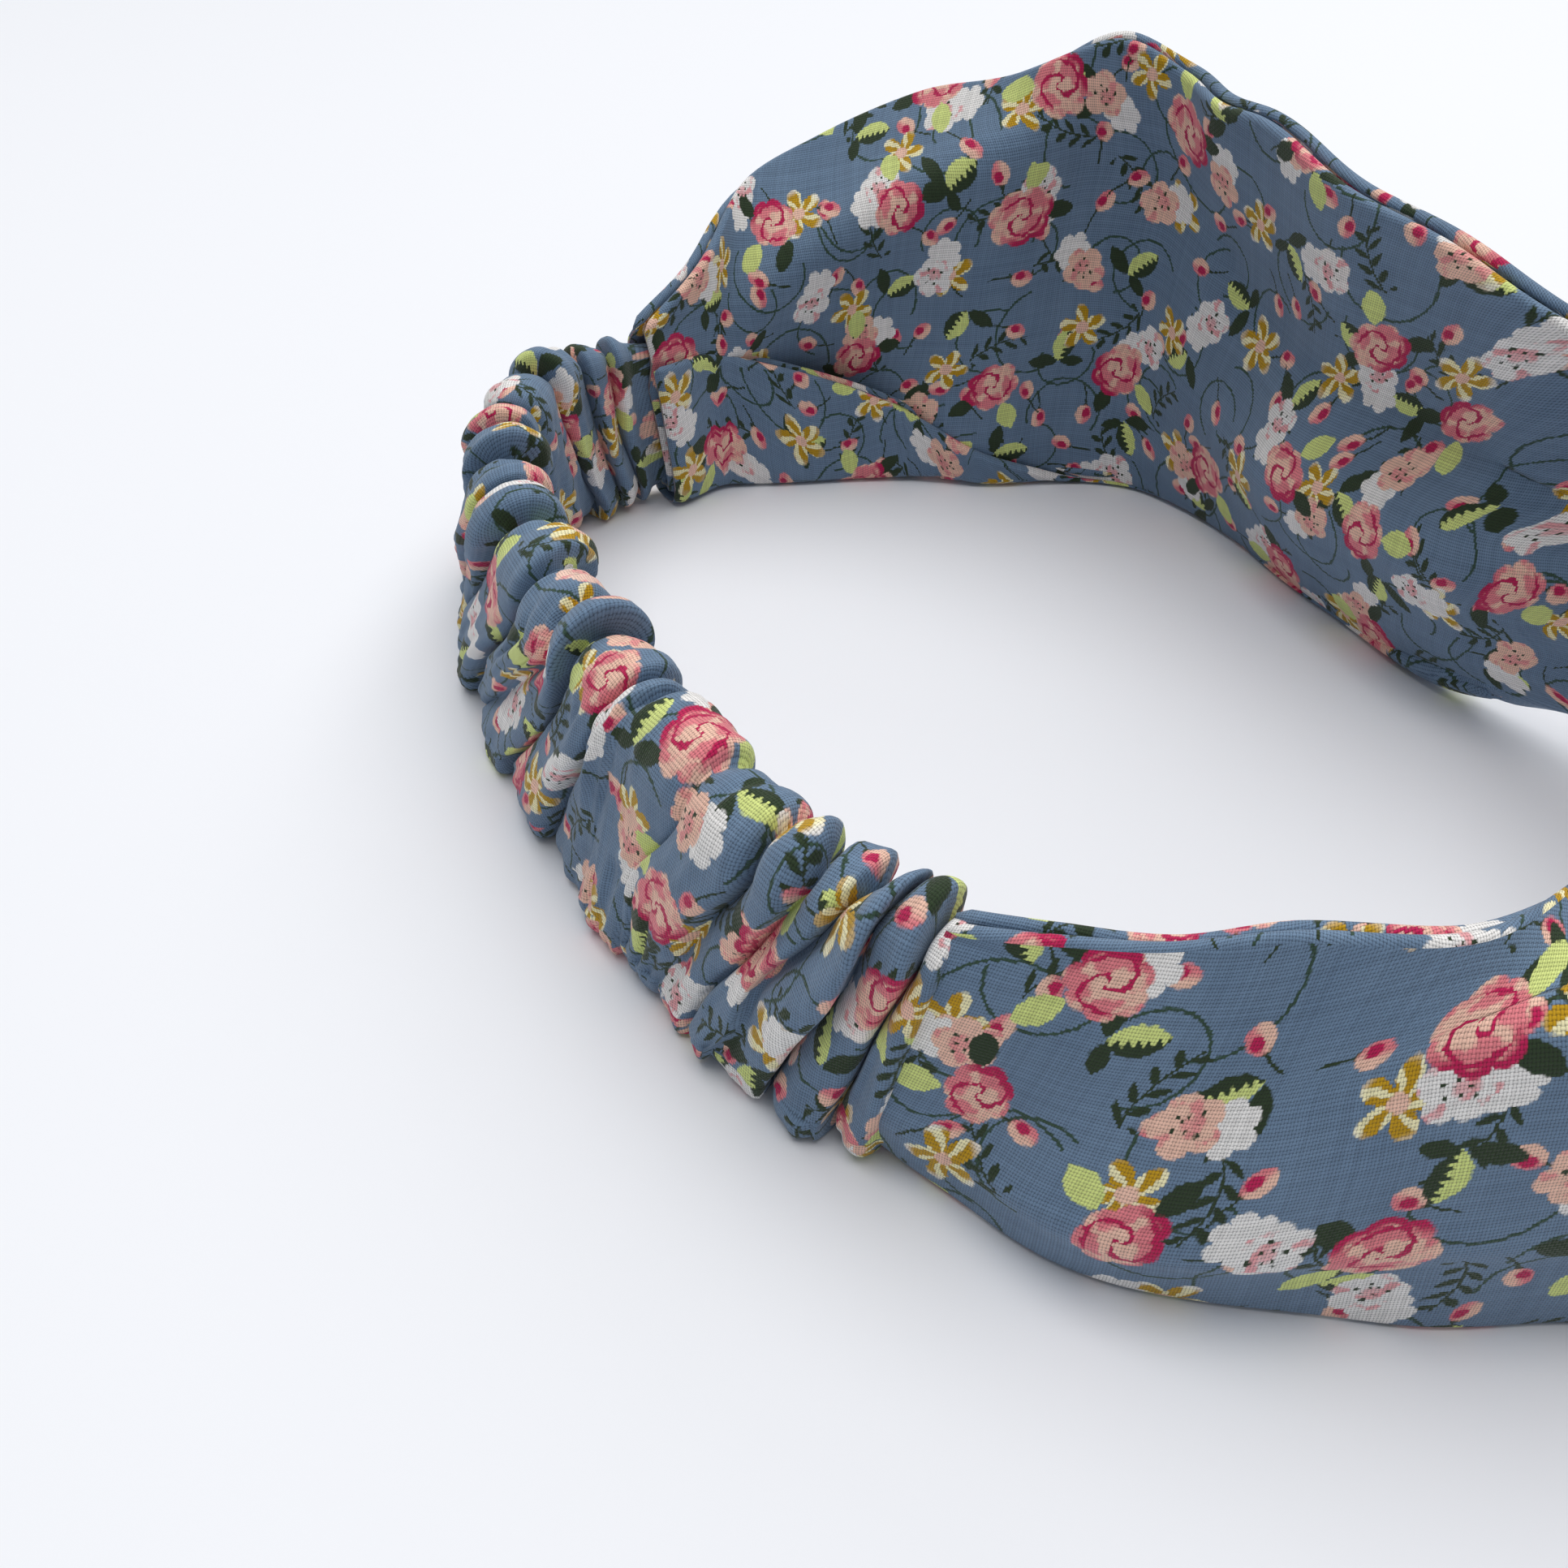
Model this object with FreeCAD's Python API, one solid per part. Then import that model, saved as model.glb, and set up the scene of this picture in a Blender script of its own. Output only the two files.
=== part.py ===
"""Knotted cotton headband, standing on its edge as a closed loop.

Units are millimetres. The table is z = 0, the knot at the front points to -Y and the
ruched elastic back to +Y. The near wrap runs along the -X side, the far wrap along the
+X side. Each wrap is one cotton tube folded in half round the other one in the knot.
"""
import FreeCAD, Part
import math
import os

Vector = FreeCAD.Vector

# ---- driving dimensions ----------------------------------------------------------------
WRAP_THICKNESS = 3.2         # folded cotton wrap, pressed flat, with the air in it
CASING_WIDTH = 28.0          # ruched casing, edge to edge
CASING_THICKNESS = 8.0       # gathered cloth on both faces of the elastic
CASING_LEAN = 4.0            # the upper edge of the casing leans into the loop
ELASTIC_WIDTH = 24.0
ELASTIC_THICKNESS = 1.4
ELASTIC_SLACK = 0.3          # room round the elastic in its casing
THREAD = 0.45                # sewing thread
STITCH_PITCH = 2.8
STITCH_LENGTH = 2.0
FOOT_TRIM = 0.6              # cloth pressed flat where the loop stands on the table

KNOT_CENTRE = Vector(-31.0, -68.0, 29.0)
KNOT_TURN = 12.0             # degrees, direction from the near wrap to the far wrap
LOOP_WALL = 9.0              # gathered cloth of one loop
LOOP_EASE = 0.4              # between the two loops
LOOP_CORNER = 7.0            # outer corner radius where a loop turns back
LOOP_INSIDE_CORNER = 1.0
NEAR_LOOP_HEIGHT = 28.0      # the near wrap turns back round the far loop
FAR_LOOP_WIDTH = 15.0        # the far wrap turns back over and under the near loop
LOOP_END_X = 23.0            # where each loop's legs meet its wrap

# One row per station along a wrap: plan x, plan y, then the height of the foot, and how
# far in and how high the crease and the upper edge stand. The first row is at the join.
NEAR_WRAP = [
    (-58.3, 26.0, 0.0, 1.0, 15.0, 3.0, 29.0),
    (-68.0, 15.0, 0.0, 2.0, 18.0, 7.0, 32.0),
    (-73.0, 2.0, 0.0, 2.5, 22.0, 7.5, 35.5),
    (-74.0, -11.5, 0.0, 3.0, 30.0, 7.0, 36.0),
    (-74.0, -24.0, 0.0, 2.5, 34.5, 15.0, 34.5),
    (-74.5, -40.0, 0.0, 2.5, 37.0, 15.0, 38.0),
    (-73.0, -53.0, 2.0, 2.0, 38.0, 10.0, 42.0),
    (-68.5, -64.0, 6.0, 1.5, 36.0, 5.0, 46.0),
    (-61.8, -70.6, 9.0, 0.5, 30.0, 1.0, 47.0),
    (-54.2, -72.9, 11.0, 0.0, 30.0, 0.0, 47.0),
]
FAR_WRAP = [
    (63.6, 56.4, 0.0, 2.0, 15.0, 5.0, 30.0),
    (69.5, 46.0, 0.0, 2.0, 20.0, 6.0, 41.0),
    (73.0, 34.0, 0.0, 2.0, 24.0, 5.0, 49.0),
    (71.5, 21.0, 0.0, 2.0, 28.0, 4.0, 56.0),
    (69.0, 9.0, 0.0, 2.0, 30.0, 4.0, 58.5),
    (69.5, -4.0, 0.0, 2.0, 30.0, 4.0, 60.0),
    (67.5, -15.0, 0.0, 2.0, 30.0, 5.0, 61.0),
    (52.0, -27.0, 0.0, 3.0, 30.0, 9.0, 60.0),
    (32.0, -36.5, 0.0, 4.0, 30.0, 10.0, 58.0),
    (13.0, -46.0, 2.0, 4.0, 30.0, 10.0, 56.0),
    (2.5, -54.5, 7.0, 2.0, 30.0, 5.0, 52.0),
    (-7.7, -62.9, 9.0, 0.0, 29.0, 0.0, 49.0),
]
# Middle line of the casing in plan, from the near join to the far join.
CASING_LINE = [
    (-56.6, 27.6), (-47.0, 39.0), (-33.5, 49.0), (-19.0, 57.5), (-4.0, 65.0),
    (12.0, 71.5), (28.0, 75.5), (42.0, 76.0), (54.0, 70.0), (62.0, 58.6),
]


def unit(vector):
    return FreeCAD.Vector(vector).normalize()


def inward(plan, index):
    """Level direction into the loop, square to the line of plan points at one station."""
    before = Vector(*plan[max(index - 1, 0)], 0)
    after = Vector(*plan[min(index + 1, len(plan) - 1)], 0)
    along = unit(after - before)
    across = Vector(-along.y, along.x, 0)
    return across if across.dot(Vector(*plan[index], 0)) < 0 else across * -1.0


def polygon(points):
    return Part.makePolygon(points + [points[0]])


def loft(wires):
    return Part.makeLoft(wires, True, True)


def pressed_on_table(shape):
    """Cut off what would reach under the table, which leaves a flat foot."""
    size = 400.0
    return shape.cut(Part.makeBox(size, size, size, Vector(-size / 2.0, -size / 2.0, -size)))


def folded_section(row, across, thickness):
    """Closed outline of a folded wrap at one station: foot, crease and upper edge."""
    x, y, foot, crease_in, crease_z, edge_in, edge_z = row
    line = [(0.0, foot - FOOT_TRIM), (crease_in, crease_z), (edge_in, edge_z)]
    half = thickness / 2.0
    rise = [math.atan2(line[k + 1][1] - line[k][1], line[k + 1][0] - line[k][0]) for k in (0, 1)]
    tilt = [math.pi / 2.0, (rise[0] + rise[1]) / 2.0, rise[1]]
    outer = []
    inner = []
    for (offset, height), angle in zip(line, tilt):
        side = (math.sin(angle) * half, -math.cos(angle) * half)
        outer.append(Vector(x, y, 0) + across * (offset - side[0]) + Vector(0, 0, height - side[1]))
        inner.append(Vector(x, y, 0) + across * (offset + side[0]) + Vector(0, 0, height + side[1]))
    return polygon(outer + inner[::-1])


def wrap(rows):
    """A wrap from its join to the knot; its last section turns towards the knot."""
    plan = [row[:2] for row in rows] + [(KNOT_CENTRE.x, KNOT_CENTRE.y)]
    wires = [folded_section(row, inward(plan, k), WRAP_THICKNESS) for k, row in enumerate(rows)]
    return pressed_on_table(loft(wires))


def casing_section(index, width, thickness, middle_z, lean):
    """Eight-sided flat section of the casing or of what lies in it."""
    across = inward(CASING_LINE, index)
    at = Vector(*CASING_LINE[index], 0)
    half = width / 2.0
    shoulder = half * 0.8
    ring = []
    for side, height in ((-0.5, -half), (-1, -shoulder), (-1, shoulder), (-0.5, half),
                         (0.5, half), (1, shoulder), (1, -shoulder), (0.5, -half)):
        offset = side * thickness / 2.0 + lean * height / width
        ring.append(at + across * offset + Vector(0, 0, middle_z + height))
    return polygon(ring)


def casing_loft(width, thickness):
    """Solid that follows the casing's middle line at its own width and thickness."""
    middle_z = CASING_WIDTH / 2.0
    count = len(CASING_LINE)
    return loft([casing_section(k, width, thickness, middle_z, CASING_LEAN) for k in range(count)])


def elastic_casing():
    """Ruched cotton tube, hollow along its whole length for the elastic."""
    room = 2.0 * ELASTIC_SLACK
    tube = casing_loft(CASING_WIDTH + 2.0 * FOOT_TRIM, CASING_THICKNESS).cut(
        casing_loft(ELASTIC_WIDTH + room, ELASTIC_THICKNESS + room))
    return pressed_on_table(tube)


def elastic():
    """Flat knitted elastic."""
    return casing_loft(ELASTIC_WIDTH, ELASTIC_THICKNESS)


def in_knot(shape):
    """Place a shape made with its axis along X in the knot."""
    shape.rotate(Vector(0, 0, 0), Vector(0, 0, 1), KNOT_TURN)
    shape.translate(KNOT_CENTRE)
    return shape


def rounded_end(back_x, open_x, half, radius):
    """Flat face in XY from open_x to back_x, with its two corners at back_x rounded."""
    step = -radius if back_x > open_x else radius
    diagonal = radius * (1.0 - math.sqrt(0.5))
    inset = diagonal if back_x < open_x else -diagonal
    low = [Vector(open_x, -half, 0), Vector(back_x + step, -half, 0)]
    low_arc = Part.Arc(low[1], Vector(back_x + inset, -half + diagonal, 0),
                       Vector(back_x, -half + radius, 0))
    high_arc = Part.Arc(Vector(back_x, half - radius, 0),
                        Vector(back_x + inset, half - diagonal, 0),
                        Vector(back_x + step, half, 0))
    edges = [Part.LineSegment(*low), low_arc,
             Part.LineSegment(Vector(back_x, -half + radius, 0), Vector(back_x, half - radius, 0)),
             high_arc,
             Part.LineSegment(Vector(back_x + step, half, 0), Vector(open_x, half, 0)),
             Part.LineSegment(Vector(open_x, half, 0), low[0])]
    return Part.Face(Part.Wire([edge.toShape() for edge in edges]))


def turned_back(back_x, open_x, outer_half, inner_half, depth):
    """Cloth that turns back on itself: a U in the XY plane, depth tall about z = 0."""
    wall = LOOP_WALL if back_x > open_x else -LOOP_WALL
    outer = rounded_end(back_x, open_x, outer_half, LOOP_CORNER)
    inner = rounded_end(back_x - wall, open_x, inner_half, LOOP_INSIDE_CORNER)
    shape = outer.cut(inner).extrude(Vector(0, 0, depth))
    shape.translate(Vector(0, 0, -depth / 2.0))
    return shape


def taper(from_x, to_x, offsets, sections):
    """Straight tapered leg along X; sections are its (size in Y, size in Z) at each end."""
    wires = []
    for x, (side, up), (wide, tall) in zip((from_x, to_x), offsets, sections):
        corners = ((-1, -1), (1, -1), (1, 1), (-1, 1))
        wires.append(polygon([Vector(x, side + a * wide / 2.0, up + b * tall / 2.0)
                              for a, b in corners]))
    return loft(wires)


def near_knot_loop():
    """The near wrap's fold: an outer and an inner leg, turned back round the far loop."""
    inner_half = FAR_LOOP_WIDTH / 2.0 + LOOP_EASE
    outer_half = inner_half + LOOP_WALL
    back_x = LOOP_WALL / 2.0
    leg_x = -1.5 * LOOP_WALL - 2.0 * LOOP_EASE
    turn = turned_back(back_x, leg_x, outer_half, inner_half, NEAR_LOOP_HEIGHT)
    middle = (outer_half + inner_half) / 2.0
    legs = [taper(leg_x, -LOOP_END_X,
                  ((side * middle, 0), (side * (WRAP_THICKNESS + LOOP_EASE) / 2.0, 0)),
                  ((LOOP_WALL, NEAR_LOOP_HEIGHT), (WRAP_THICKNESS, NEAR_LOOP_HEIGHT + 8.0)))
            for side in (-1, 1)]
    return in_knot(turn.fuse(legs).removeSplitter())


def far_knot_loop():
    """The far wrap's fold: an upper and a lower leg, turned back round the near loop."""
    inner_half = NEAR_LOOP_HEIGHT / 2.0 + LOOP_EASE
    outer_half = inner_half + LOOP_WALL
    back_x = -1.5 * LOOP_WALL - LOOP_EASE
    leg_x = 0.5 * LOOP_WALL + LOOP_EASE
    turn = turned_back(back_x, leg_x, outer_half, inner_half, FAR_LOOP_WIDTH)
    turn.rotate(Vector(0, 0, 0), Vector(1, 0, 0), 90.0)
    middle = (outer_half + inner_half) / 2.0
    end_height = 20.0
    legs = [taper(leg_x, LOOP_END_X,
                  ((0, side * middle), (0, side * (end_height + LOOP_EASE) / 2.0)),
                  ((FAR_LOOP_WIDTH, LOOP_WALL), (WRAP_THICKNESS, end_height)))
            for side in (-1, 1)]
    return in_knot(turn.fuse(legs).removeSplitter())


def stitch(start, end):
    """One visible stitch: a short straight thread from start to end."""
    return Part.makeCylinder(THREAD / 2.0, (end - start).Length, start, end - start)


def stitch_row(points):
    """Stitches spaced evenly along a broken line, as separate solids."""
    solids = []
    for first, last in zip(points, points[1:]):
        span = (last - first).Length
        along = unit(last - first)
        count = max(1, int(span // STITCH_PITCH))
        margin = (span - count * STITCH_PITCH) / 2.0 + (STITCH_PITCH - STITCH_LENGTH) / 2.0
        for k in range(count):
            start = first + along * (margin + k * STITCH_PITCH)
            solids.append(stitch(start, start + along * STITCH_LENGTH))
    return Part.makeCompound(solids)


def join_point(row, neighbour, inset, height):
    """Point in the gap between a wrap's end and the casing, at a height along the join."""
    end = Vector(row[0], row[1], 0)
    away = unit(end - Vector(neighbour[0], neighbour[1], 0))
    across = inward([neighbour[:2], row[:2]], 1)
    lean = row[5] * height / row[6]
    return end + away * inset + across * lean + Vector(0, 0, height)


def join_stitching(rows, inset, low, high):
    """Row of stitches that closes a join, standing across the band."""
    foot = join_point(rows[0], rows[1], inset, low)
    head = join_point(rows[0], rows[1], inset, high)
    return stitch_row([foot, head])


def wrap_seam(rows, face, level):
    """Row of stitches on one face of a wrap, at a share of the height up to the crease."""
    plan = [row[:2] for row in rows]
    points = []
    for k, row in enumerate(rows):
        x, y, foot, crease_in, crease_z, _, _ = row
        across = inward(plan, k)
        offset = level * crease_in + face * (WRAP_THICKNESS / 2.0 + THREAD / 2.0 + 0.05)
        points.append(Vector(x, y, foot + level * (crease_z - foot)) + across * offset)
    return stitch_row(points[1:-1])


def casing_seam():
    """Long seam of the casing, on the face towards the head."""
    points = []
    offset = CASING_THICKNESS / 2.0 + THREAD / 2.0 + 0.05
    for k in range(1, len(CASING_LINE) - 1):
        across = inward(CASING_LINE, k)
        points.append(Vector(*CASING_LINE[k], CASING_WIDTH / 2.0) + across * offset)
    return stitch_row(points)


def build():
    """Every sub-part, named, still in the measuring frame."""
    tack_low = (CASING_WIDTH - ELASTIC_WIDTH) / 2.0 + 1.0
    tack_high = tack_low + ELASTIC_WIDTH - 2.0
    return {
        "near_wrap": wrap(NEAR_WRAP),
        "far_wrap": wrap(FAR_WRAP),
        "near_knot_loop": near_knot_loop(),
        "far_knot_loop": far_knot_loop(),
        "elastic_casing": elastic_casing(),
        "elastic": elastic(),
        "near_join_stitching": join_stitching(NEAR_WRAP, 0.35, 1.5, 27.5),
        "far_join_stitching": join_stitching(FAR_WRAP, 0.35, 1.5, 27.5),
        "near_elastic_tack": join_stitching(NEAR_WRAP, 0.9, tack_low, tack_high),
        "far_elastic_tack": join_stitching(FAR_WRAP, 0.9, tack_low, tack_high),
        "near_wrap_seam": wrap_seam(NEAR_WRAP, 1.0, 0.35),
        "far_wrap_seam": wrap_seam(FAR_WRAP, -1.0, 0.35),
        "casing_seam": casing_seam(),
    }


def main():
    os.makedirs("parts", exist_ok=True)
    parts = build()
    box = Part.makeCompound(list(parts.values())).BoundBox
    centring = Vector(-box.Center.x, -box.Center.y, 0)
    for name, shape in parts.items():
        shape.translate(centring)
        shape.exportStep("parts/" + name + ".step")
        print(name, "volume %.0f mm3" % shape.Volume, "valid", shape.isValid())
    print("size %.1f x %.1f x %.1f mm" % (box.XLength, box.YLength, box.ZLength))
    print("moved by", tuple(round(value, 3) for value in centring))


main()
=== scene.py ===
"""Looks of a knotted cotton headband that stands on its edge.

Two wraps of printed cotton, each folded in half round the other in the knot, and a ruched
elastic casing at the back. Lengths are in millimetres until a mesh is made.
"""
import math

import bmesh
import bpy
import numpy as np
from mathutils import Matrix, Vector


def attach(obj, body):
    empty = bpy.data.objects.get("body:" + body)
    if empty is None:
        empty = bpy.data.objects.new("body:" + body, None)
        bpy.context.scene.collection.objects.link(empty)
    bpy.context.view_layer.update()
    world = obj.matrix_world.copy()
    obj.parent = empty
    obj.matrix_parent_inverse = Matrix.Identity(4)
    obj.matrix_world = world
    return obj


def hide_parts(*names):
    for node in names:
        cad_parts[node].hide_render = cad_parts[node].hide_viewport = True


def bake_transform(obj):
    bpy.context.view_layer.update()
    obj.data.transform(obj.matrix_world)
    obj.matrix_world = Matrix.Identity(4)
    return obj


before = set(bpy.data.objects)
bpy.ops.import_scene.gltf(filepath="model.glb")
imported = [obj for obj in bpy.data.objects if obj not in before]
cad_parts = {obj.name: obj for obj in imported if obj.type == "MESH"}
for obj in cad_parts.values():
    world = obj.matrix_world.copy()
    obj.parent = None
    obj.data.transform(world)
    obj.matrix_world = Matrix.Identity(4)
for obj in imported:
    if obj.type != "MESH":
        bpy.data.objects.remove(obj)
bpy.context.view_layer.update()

SCENE = bpy.context.scene
MM = 0.001

# ---- shape, in the plan the band was laid out in ---------------------------------------
PLAN_SHIFT = np.array([0.752, 3.013, 0.0])   # from that plan to the CAD frame
COLUMNS = 15                                 # control points across a wrap
PLY = 1.5                                    # one leg of a wrap, a flattened two-ply tube
DRAPE = 1.1                                  # height of the wraps' long, lazy folds
LEG_GAP = 1.9                                # between the middles of a wrap's two legs
JOIN_SPREAD = 2.0                            # more on each side where the casing goes in
KNOT_CENTRE = np.array([-31.0, -68.0, 29.0])
KNOT_TURN = math.radians(12.0)
CASING_LINE = np.array([                     # plan of its middle, near join to far join
    (-56.6, 27.6), (-47.0, 39.0), (-33.5, 49.0), (-19.0, 57.5), (-4.0, 65.0),
    (12.0, 71.5), (28.0, 75.5), (42.0, 76.0), (54.0, 70.0), (62.0, 58.6),
])
CASING_WIDTH = 28.0
CASING_LEAN = 4.0                            # its top stands this much further in


# ---- curves and grids ------------------------------------------------------------------
def hermite(knots, rows, at):
    """Smooth curve through rows at the knots, read at other places along them."""
    rows = np.asarray(rows, float)
    slopes = np.gradient(rows, knots, axis=0)
    k = np.clip(np.searchsorted(knots, at, side="right") - 1, 0, len(knots) - 2)
    span = (knots[k + 1] - knots[k])
    shape = (-1,) + (1,) * (rows.ndim - 1)
    t = ((at - knots[k]) / span).reshape(shape)
    span = span.reshape(shape)
    return ((2 * t**3 - 3 * t**2 + 1) * rows[k] + (t**3 - 2 * t**2 + t) * span * slopes[k]
            + (3 * t**2 - 2 * t**3) * rows[k + 1] + (t**3 - t**2) * span * slopes[k + 1])


def lengths_along(points):
    """Way from the first point to each point of a line."""
    return np.concatenate([[0.0], np.cumsum(np.linalg.norm(np.diff(points, axis=0), axis=1))])


def skin(rings, step, across=72):
    """Dense grid through control rings: rows along the band, columns across it."""
    rings = np.asarray(rings, float)
    middles = rings.mean(axis=1)
    knots = lengths_along(middles)
    count = max(2, int(round(knots[-1] / step)) + 1)
    grid = hermite(knots, rings, np.linspace(0.0, knots[-1], count))
    columns = np.arange(rings.shape[1], dtype=float)
    grid = hermite(columns, grid.transpose(1, 0, 2), np.linspace(0, columns[-1], across))
    return grid.transpose(1, 0, 2)


def grid_normals(grid):
    along = np.gradient(grid, axis=0)
    over = np.gradient(grid, axis=1)
    normal = np.cross(over, along)
    return normal / np.maximum(np.linalg.norm(normal, axis=2, keepdims=True), 1e-9)


def ramp(value, low, high):
    """Smooth step from 0 at low to 1 at high."""
    t = np.clip((value - low) / (high - low), 0.0, 1.0)
    return t * t * (3.0 - 2.0 * t)


def waves(u, v, seed, length, count=7):
    """Sum of sine waves in scattered directions, between about -1 and 1."""
    draw = np.random.default_rng(seed)
    total = np.zeros(np.broadcast(u, v).shape)
    for _ in range(count):
        turn = draw.uniform(0, math.pi)
        size = 2 * math.pi / (length * draw.uniform(0.7, 1.8))
        total += np.sin((u * math.cos(turn) + v * math.sin(turn)) * size + draw.uniform(0, 6.28))
    return total / math.sqrt(count * 2.0)


def section(points, counts):
    """Control points along a broken line, a given number on each stretch."""
    points = np.asarray(points, float)
    run = [points[0]]
    for start, end, count in zip(points, points[1:], counts):
        run += [start + (end - start) * (k + 1) / count for k in range(count)]
    return np.array(run)


def plan_frame(plan):
    """Unit directions along and into the loop for each plan point."""
    along = np.gradient(plan, axis=0)
    along /= np.linalg.norm(along, axis=1, keepdims=True)
    inward = np.stack([-along[:, 1], along[:, 0]], axis=1)
    flip = np.sign(-(inward * plan).sum(axis=1))
    return along, inward * flip[:, None]


# ---- meshes ----------------------------------------------------------------------------
def new_object(name, data):
    made = bpy.data.objects.new(name, data)
    SCENE.collection.objects.link(made)
    return made


def mesh_object(name, points, faces, uv, materials):
    """Object from points in millimetres; uv holds each face corner's place on the cloth."""
    mesh = bpy.data.meshes.new(name)
    mesh.from_pydata((np.asarray(points) * MM).tolist(), [], faces)
    layer = mesh.uv_layers.new(name="cloth")
    layer.data.foreach_set("uv", np.asarray(uv, np.float32).ravel())
    for material in materials:
        mesh.materials.append(material)
    solid = bmesh.new()
    solid.from_mesh(mesh)
    inside_out = solid.calc_volume(signed=True) < 0.0
    solid.free()
    if inside_out:
        mesh.flip_normals()
    mesh.shade_smooth()
    mesh.validate()
    return new_object(name, mesh)


UV_JUMP = 12.0           # a bigger step between neighbours is a seam in the print
UV_STEP = 0.3            # the print's step to the next column at a seam
TABLE_GAP = 0.25         # the lowest that cloth comes to the table
TABLE_EASE = 0.95        # over this height it flattens down to that gap
TABLE_REACH = TABLE_GAP + TABLE_EASE


def settled(points):
    """Press points that come near the table flat against it, in place of through it."""
    near = points[..., 2] < TABLE_REACH
    points[..., 2] = np.where(near, TABLE_GAP + TABLE_EASE * np.exp(
        np.minimum(points[..., 2] - TABLE_REACH, 0) / TABLE_EASE), points[..., 2])
    return points


def beside(here, there):
    """The print place of the next column, or one that goes on from here across a seam."""
    return there if abs(there - here) < UV_JUMP else here + UV_STEP


def closed_tube(name, rings, u, v, materials):
    """Tube through rings of points, capped at both ends, with its cloth coordinates."""
    rows, columns = rings.shape[:2]
    index = np.arange(rows * columns).reshape(rows, columns)
    faces = []
    uv = []
    for j in range(rows - 1):
        for i in range(columns):
            n = (i + 1) % columns
            faces.append((index[j, i], index[j + 1, i], index[j + 1, n], index[j, n]))
            right = beside(v[j, i], v[j, n])
            right_up = beside(v[j + 1, i], v[j + 1, n])
            uv += [(u[j, i], v[j, i]), (u[j + 1, i], v[j + 1, i]),
                   (u[j + 1, n], right_up), (u[j, n], right)]
    for j, order in ((0, 1), (rows - 1, -1)):
        ring = list(index[j])[::order]
        faces.append(tuple(ring))
        uv += [(u[j, k % columns], v[j, k % columns]) for k in range(columns)[::order]]
    faces = [tuple(map(int, face)) for face in faces]
    return mesh_object(name, rings.reshape(-1, 3), faces, uv, materials)


CAP_ANGLES = np.radians([-68.0, -45.0, -22.0, 0.0, 22.0, 45.0, 68.0])  # round a folded edge
END_ROUND = 0.8          # a tube's ends are rounded over this length
EDGE_PRINT = 1.6         # the print's way round a folded edge, in plies
BACK_PRINT = 100.0       # the print on a tube's back starts this far from the front's
STRAIN_REACH = 0.965     # how much of a column's extra length the next row still carries


def print_places(grid):
    """Place on the cloth of each grid point: along the tube, and across it from its middle."""
    steps = np.linalg.norm(np.diff(grid, axis=0), axis=2)
    along = np.concatenate([[0.0], np.cumsum(steps.mean(axis=1))])
    extra = np.zeros(grid.shape[:2])
    for j, step in enumerate(steps):
        extra[j + 1] = extra[j] * STRAIN_REACH + step - step.mean()
    over = np.concatenate([np.zeros((len(grid), 1)), np.cumsum(
        np.linalg.norm(np.diff(grid, axis=1), axis=2), axis=1)], axis=1)
    middle = over[:, over.shape[1] // 2][:, None]
    return along, along[:, None] + extra, over[:, -1], over - middle


def thick_strip(name, grid, ply, materials, swell=0.0):
    """Flattened two-ply tube round a middle surface, with rounded folded edges."""
    normal = grid_normals(grid)
    rows, columns = grid.shape[:2]
    along, reach, wide, over = print_places(grid)
    half = np.full((rows, columns), ply / 2.0) + swell / 2.0
    end = np.minimum(along, along[-1] - along)
    half *= np.sqrt(1.0 - (1.0 - np.clip(end / END_ROUND, 0.05, 1.0))**2)[:, None]
    rings = [grid + normal * half[..., None]]
    u, v = [reach], [over]
    for side in (-1, 0):
        edge = grid[:, side]
        out = edge - grid[:, side - 1 if side else 1]
        out /= np.linalg.norm(out, axis=1, keepdims=True)
        radius = half[:, side][:, None]
        for k, angle in enumerate(CAP_ANGLES[::-1] if side else CAP_ANGLES):
            point = edge + out * radius * math.cos(angle)
            point = point + normal[:, side] * radius * math.sin(angle)
            rings.append(point[:, None])
            turn = (k + 1) / (len(CAP_ANGLES) + 1) * EDGE_PRINT * ply
            v.append((over[:, side] + (turn if side else turn - EDGE_PRINT * ply))[:, None])
            u.append(reach[:, side][:, None])
        if side:
            rings.append((grid - normal * half[..., None])[:, ::-1])
            v.append(BACK_PRINT - over[:, ::-1])
            u.append(reach[:, ::-1])
    rings = settled(np.concatenate(rings, axis=1)) + PLAN_SHIFT
    u, v = np.concatenate(u, axis=1), np.concatenate(v, axis=1)
    piece = closed_tube(name, rings, u, v, materials)
    return piece, along[-1], wide.mean()


# ---- node arithmetic -------------------------------------------------------------------
class Field:
    """A number at every point of a surface, worked out by shader nodes."""
    tree = None

    def __init__(self, source):
        self.source = source

    def __add__(self, other):
        return math_node("ADD", self, other)

    def __sub__(self, other):
        return math_node("SUBTRACT", self, other)

    def __rsub__(self, other):
        return math_node("SUBTRACT", other, self)

    def __mul__(self, other):
        return math_node("MULTIPLY", self, other)

    def __lt__(self, other):
        return math_node("LESS_THAN", self, other)

    def __gt__(self, other):
        return math_node("GREATER_THAN", self, other)

    def __pow__(self, other):
        return math_node("POWER", self, other)

    def __abs__(self):
        return math_node("ABSOLUTE", self)


def new_node(kind, inputs, **settings):
    """Outputs of a new shader node; its inputs are given by name or number."""
    node = Field.tree.nodes.new("ShaderNode" + kind)
    for name, value in settings.items():
        setattr(node, name, value)
    feed(node, inputs)
    return node.outputs


def feed(node, inputs):
    for key, value in inputs.items():
        if isinstance(value, Field):
            Field.tree.links.new(value.source, node.inputs[key])
        else:
            node.inputs[key].default_value = value


def math_node(kind, *values):
    return Field(new_node("Math", dict(enumerate(values)), operation=kind)[0])


def sine(x):
    return math_node("SINE", x)


def cosine(x):
    return math_node("COSINE", x)


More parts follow.
